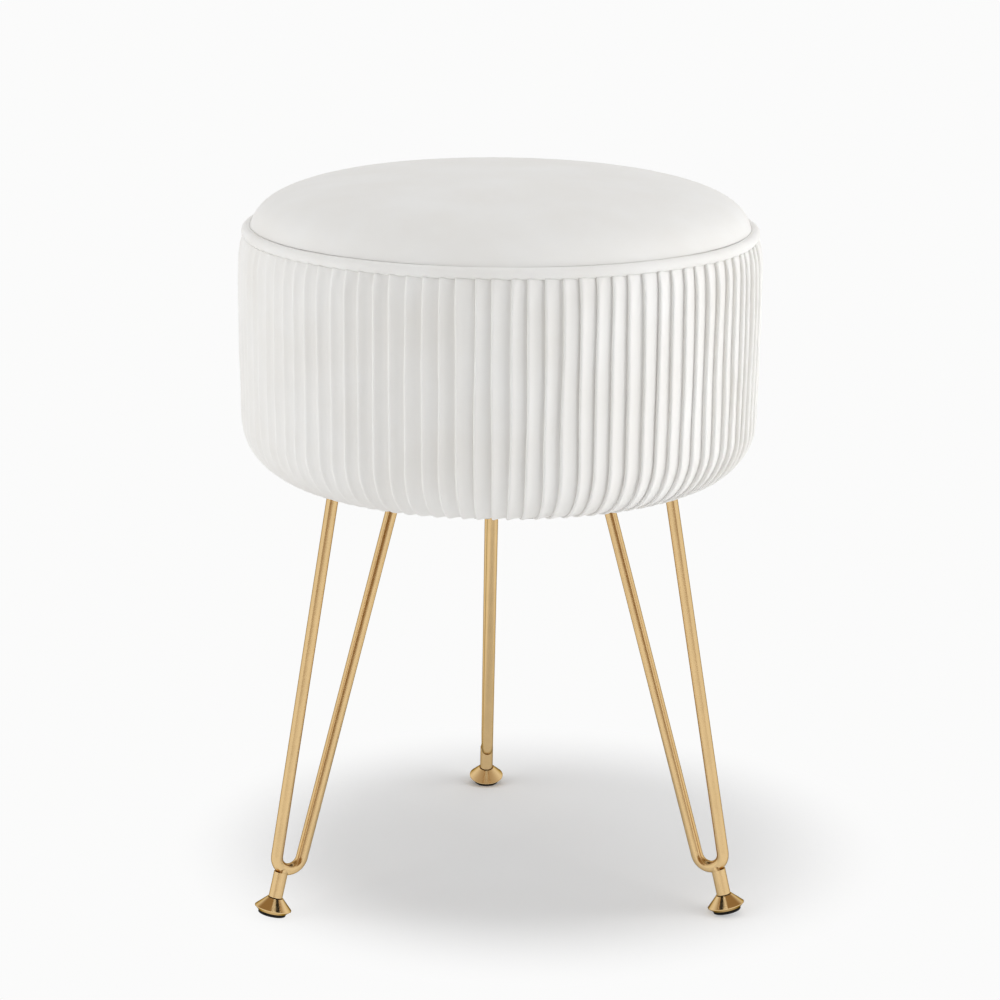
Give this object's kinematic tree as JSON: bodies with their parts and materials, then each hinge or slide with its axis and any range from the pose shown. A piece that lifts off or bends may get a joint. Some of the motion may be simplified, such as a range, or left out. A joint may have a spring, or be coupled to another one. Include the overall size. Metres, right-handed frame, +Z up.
{
  "type": "vanity stool",
  "caption": "Round upholstered vanity stool: knife-pleated velvet drum with a piped, crowned top on gold hairpin legs with screw-in levelling feet.",
  "frame": {"origin": "on the floor under the drum's axis, in the plane of the three pads' flats", "axes": "+Z up along the drum's axis, +Y towards the single back leg, +X to the viewer's right"},
  "size_m": [0.35, 0.3636, 0.4912],
  "materials": {
    "velvet": "matte",
    "foam": "matte",
    "plywood": "matte",
    "hardboard": "matte",
    "pine": "matte",
    "zinc_steel": "satin",
    "black_steel": "satin",
    "non_woven": "matte",
    "satin_gold": "satin",
    "polished_gold": "polished",
    "black_rubber": "matte"
  },
  "bodies": {
    "seat_and_legs": {"base_board": "plywood", "top_board": "plywood", "core_wall": "hardboard", "frame_uprights": "pine", "upright_screws_bottom": "zinc_steel", "upright_screws_top": "zinc_steel", "side_foam": "foam", "top_foam": "foam", "top_cover": "velvet", "piping": "velvet", "pleated_side_cover": "velvet", "dust_cover": "non_woven", "staples": "zinc_steel", "tee_nuts": "zinc_steel", "leg_plate_1": "satin_gold", "leg_screws_1": "black_steel", "leg_hairpin_1": "satin_gold", "leg_stem_1": "satin_gold", "leg_plate_2": "satin_gold", "leg_screws_2": "black_steel", "leg_hairpin_2": "satin_gold", "leg_stem_2": "satin_gold", "leg_plate_3": "satin_gold", "leg_screws_3": "black_steel", "leg_hairpin_3": "satin_gold", "leg_stem_3": "satin_gold"},
    "stud_1": {"foot_stud_1": "zinc_steel"},
    "foot_1": {"foot_cone_1": "polished_gold", "foot_pad_1": "black_rubber"},
    "stud_2": {"foot_stud_2": "zinc_steel"},
    "foot_2": {"foot_cone_2": "polished_gold", "foot_pad_2": "black_rubber"},
    "stud_3": {"foot_stud_3": "zinc_steel"},
    "foot_3": {"foot_cone_3": "polished_gold", "foot_pad_3": "black_rubber"}
  },
  "joints": [
    {"name": "foot_1_lift", "type": "slide", "parent": "seat_and_legs", "child": "stud_1", "axis": [0, 0.2504, -0.9681], "range_m": [0, 0.006]},
    {"name": "foot_1_turn", "type": "hinge", "parent": "stud_1", "child": "foot_1", "pos_m": [0, 0.17758, 0.00178], "axis": [0, 0.2504, -0.9681], "range_deg": [0, 2160]},
    {"name": "foot_2_lift", "type": "slide", "parent": "seat_and_legs", "child": "stud_2", "axis": [-0.2168, -0.1252, -0.9681], "range_m": [0, 0.006]},
    {"name": "foot_2_turn", "type": "hinge", "parent": "stud_2", "child": "foot_2", "pos_m": [-0.15379, -0.08879, 0.00178], "axis": [-0.2168, -0.1252, -0.9681], "range_deg": [0, 2160]},
    {"name": "foot_3_lift", "type": "slide", "parent": "seat_and_legs", "child": "stud_3", "axis": [0.2168, -0.1252, -0.9681], "range_m": [0, 0.006]},
    {"name": "foot_3_turn", "type": "hinge", "parent": "stud_3", "child": "foot_3", "pos_m": [0.15379, -0.08879, 0.00178], "axis": [0.2168, -0.1252, -0.9681], "range_deg": [0, 2160]}
  ],
  "couplings": [
    {"joint": "foot_1_lift", "follows": "foot_1_turn", "m_per_rad": 0.00015915},
    {"joint": "foot_2_lift", "follows": "foot_2_turn", "m_per_rad": 0.00015915},
    {"joint": "foot_3_lift", "follows": "foot_3_turn", "m_per_rad": 0.00015915}
  ]
}
